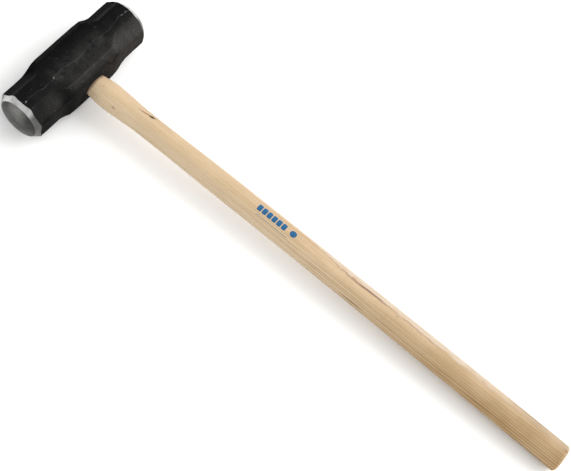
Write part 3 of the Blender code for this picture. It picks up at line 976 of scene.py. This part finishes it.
def with_print(g, colour, fibre):
    """The colour with the print over it, on the side away from the floor."""
    side = g.math("SUBTRACT", g.x, PRINT_SHIFT)
    facing = g.math("LESS_THAN", g.y, 0.0)
    shapes = g.math("MAXIMUM", printed_tiles(g, side), printed_disc(g, side))
    worn = g.ramp(fibre, 0.3, 0.8, 1.0, 0.93)
    colour = g.mix(g.times(shapes, facing, worn), colour, PRINT_BLUE)
    return g.mix(g.times(printed_rule(g, side), facing, 0.75), colour, PRINT_GREY)


def handle_ash():
    """Straight-grained ash: rings, fibre, pores, sapwood, mineral streaks and the print."""
    g = Graph("handle_ash")
    wander = g.noise((5.0, 5.0, 420.0), 2.0, 0.5, 2.0)
    fibre = g.noise((0.45, 0.45, 22.0), 3.0, 0.6, 3.0)
    coarse = g.noise((3.2, 3.2, 120.0), 3.0, 0.6, 4.0)
    cloud = g.noise((24.0, 24.0, 60.0), 3.0, 0.5, 5.0)
    pores = g.ramp(g.noise((0.9, 0.9, 4.0), 2.0, 0.5, 6.0), 0.56, 0.68)
    ragged = g.noise((5.0, 5.0, 17.0), 4.0, 0.65, 7.0)
    fade = g.ramp(g.noise((4.5, 4.5, 130.0), 3.0, 0.6, 8.0), 0.34, 0.60, 0.15, 1.0)
    wave = ring_wave(g, wander)
    line = g.times(g.math("POWER", wave, 2.0), fade)

    colour = with_rings(g, plain_wood(g), wave, line)
    colour = g.mix(g.ramp(coarse, 0.5, 0.8, 0.0, 0.28), colour, COARSE_BROWN)
    colour = g.mix(g.ramp(fibre, 0.35, 0.75, 0.0, 0.20), colour, FIBRE_BROWN)
    colour = g.mix(g.ramp(cloud, 0.35, 0.7, 0.0, 0.22), colour, CLOUD_CREAM)
    colour = g.mix(g.times(pores, 0.30), colour, PORE_BROWN)
    colour = with_sapwood(g, colour, ragged, cloud)
    ripple = g.times(g.math("SUBTRACT", wander, 0.5), 1.2 * MM)
    for heights, turns, half_width, mineral, strength in STREAKS:
        mask = streak(g, heights, turns, half_width, ripple)
        colour = g.mix(g.times(mask, strength), colour, mineral)
    # dark ring by the head: partly a stain, partly painted shade where the handle enters the head
    stain_and_shade_place = g.plus(g.z, g.times(g.math("SUBTRACT", ragged, 0.5), 5.0 * MM))
    colour = g.mix(g.ramp_mm(stain_and_shade_place, 84.5, 81.0, 0.0, 0.75), colour, SOCKET_STAIN_AND_SHADE)
    colour = with_print(g, colour, fibre)

    rough = g.ramp(coarse, 0.3, 0.8, 0.42, 0.54)
    normal = g.bump(line, 0.05)
    normal = g.bump(fibre, 0.06, normal)
    g.shader.inputs["Specular IOR Level"].default_value = WOOD_SPECULAR
    return g.finish(Base_Color=colour, Roughness=rough, Normal=normal)


def wedge_wood():
    """Bare hardwood of the wedge, its grain along the wedge's depth."""
    g = Graph("wedge_hardwood")
    fibre = g.noise((8.0, 0.5, 0.5), 3.0, 0.6, 1.0)
    cloud = g.noise(9.0, 2.0, 0.5, 2.0)
    colour = g.mix(g.ramp(cloud, 0.3, 0.7), WEDGE_WOOD_DARK, WEDGE_WOOD_LIGHT)
    colour = g.mix(g.ramp(fibre, 0.4, 0.7, 0.0, 0.55), colour, WEDGE_WOOD_FIBRE)
    rough = g.ramp(fibre, 0.3, 0.7, 0.60, 0.75)
    return g.finish(Base_Color=colour, Roughness=rough, Normal=g.bump(fibre, 0.12))


def wedge_steel():
    """Mill steel with hammer marks and a bloom of rust."""
    g = Graph("wedge_mill_steel")
    marks = g.noise(2.5, 3.0, 0.6, 1.0)
    rust = g.ramp(g.noise(4.0, 4.0, 0.65, 3.0), 0.52, 0.70)
    colour = g.mix(g.ramp(marks, 0.3, 0.7), WEDGE_STEEL_DARK, WEDGE_STEEL_LIGHT)
    colour = g.mix(g.times(rust, 0.6), colour, WEDGE_RUST)
    metallic = g.ramp(rust, 0.0, 1.0, 1.0, 0.3)
    rough = g.ramp(rust, 0.0, 1.0, 0.36, 0.75)
    normal = g.bump(marks, 0.15)
    return g.finish(Base_Color=colour, Metallic=metallic, Roughness=rough, Normal=normal)


def floor_paper():
    """Pale paper sweep, almost even."""
    g = Graph("floor_paper")
    cloud = g.noise(400.0, 2.0, 0.5, 1.0)
    tooth = g.noise(1.5, 3.0, 0.6, 2.0)
    colour = g.mix(cloud, PAPER_DARK, PAPER_LIGHT)
    rough = g.ramp(tooth, 0.2, 0.8, 0.85, 0.95)
    return g.finish(Base_Color=colour, Roughness=rough, Normal=g.bump(tooth, 0.02))


# Studio ----------------------------------------------------------------------------------

def make_camera():
    data = bpy.data.cameras.new("camera")
    data.lens = CAMERA_LENS
    camera = link(bpy.data.objects.new("camera", data))
    aim = (CAMERA_AIM - CAMERA_PLACE).to_track_quat("-Z", "Y").to_matrix()
    turn = aim @ Matrix.Rotation(CAMERA_ROLL, 3, "Z")
    camera.matrix_world = Matrix.Translation(CAMERA_PLACE) @ turn.to_4x4()
    bpy.context.scene.camera = camera


def make_key():
    """Wide even light from behind the tool and from its handle's end."""
    data = bpy.data.lights.new("key", "SUN")
    data.angle = KEY_SPREAD
    data.energy = KEY_STRENGTH
    light = link(bpy.data.objects.new("key", data))
    light.rotation_euler = Vector(KEY_DIRECTION).to_track_quat("Z", "Y").to_euler()


def make_world():
    """Studio surround: white, brighter overhead and most of all towards the handle's end."""
    world = bpy.data.worlds.new("studio")
    world.use_nodes = True
    tree = world.node_tree
    place = tree.nodes.new("ShaderNodeTexCoord").outputs["Generated"]
    slope = tree.nodes.new("ShaderNodeVectorMath")
    slope.operation = "DOT_PRODUCT"
    slope.inputs[1].default_value = SURROUND_SLOPE
    tree.links.new(place, slope.inputs[0])
    strength = tree.nodes.new("ShaderNodeMath")
    strength.operation = "ADD"
    strength.inputs[1].default_value = SURROUND_LIGHT
    tree.links.new(slope.outputs["Value"], strength.inputs[0])
    background = tree.nodes["Background"]
    background.inputs["Color"].default_value = (1.0, 1.0, 1.0, 1.0)
    tree.links.new(strength.outputs[0], background.inputs["Strength"])
    bpy.context.scene.world = world


def make_floor():
    signs = ((-1.0, -1.0), (1.0, -1.0), (1.0, 1.0), (-1.0, 1.0))
    corners = [(x * FLOOR_HALF, y * FLOOR_HALF, 0.0) for x, y in signs]
    mesh = bpy.data.meshes.new("studio_floor")
    mesh.from_pydata(corners, [], [(0, 1, 2, 3)])
    mesh.materials.append(floor_paper())
    floor = link(bpy.data.objects.new("studio_floor", mesh))
    floor.location.z = -FLOOR_DROP


# Assembly --------------------------------------------------------------------------------

def main():
    pose = tool_pose()
    steels = [
        ground_steel("ground_bevel", BEVEL_STEEL, BEVEL_ROUGHNESS, BEVEL_MARKS, bevel_painted_shade, BEVEL_SHADE_TINT),
        ground_steel("ground_face", FACE_STEEL, FACE_ROUGHNESS, FACE_MARKS, crown_painted_shade, FACE_SHADE_TINT),
    ]
    head = make_head([forged_black()] + steels)
    handle = make_handle(handle_ash())
    for piece, node, slot in ((head, "hammer_head", "forged_head"), (handle, "handle", "handle_wood")):
        piece.matrix_world = pose
        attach(piece, "root")
        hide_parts(node)
    nodes = frame["nodes"]
    nodes["wood_wedge"].material_slots[0].material = wedge_wood()
    steel = wedge_steel()
    for name in ("steel_wedge_front", "steel_wedge_rear"):
        nodes[name].material_slots[0].material = steel

    make_floor()
    make_camera()
    make_world()
    make_key()
    bpy.context.scene.view_settings.view_transform = "Standard"


main()
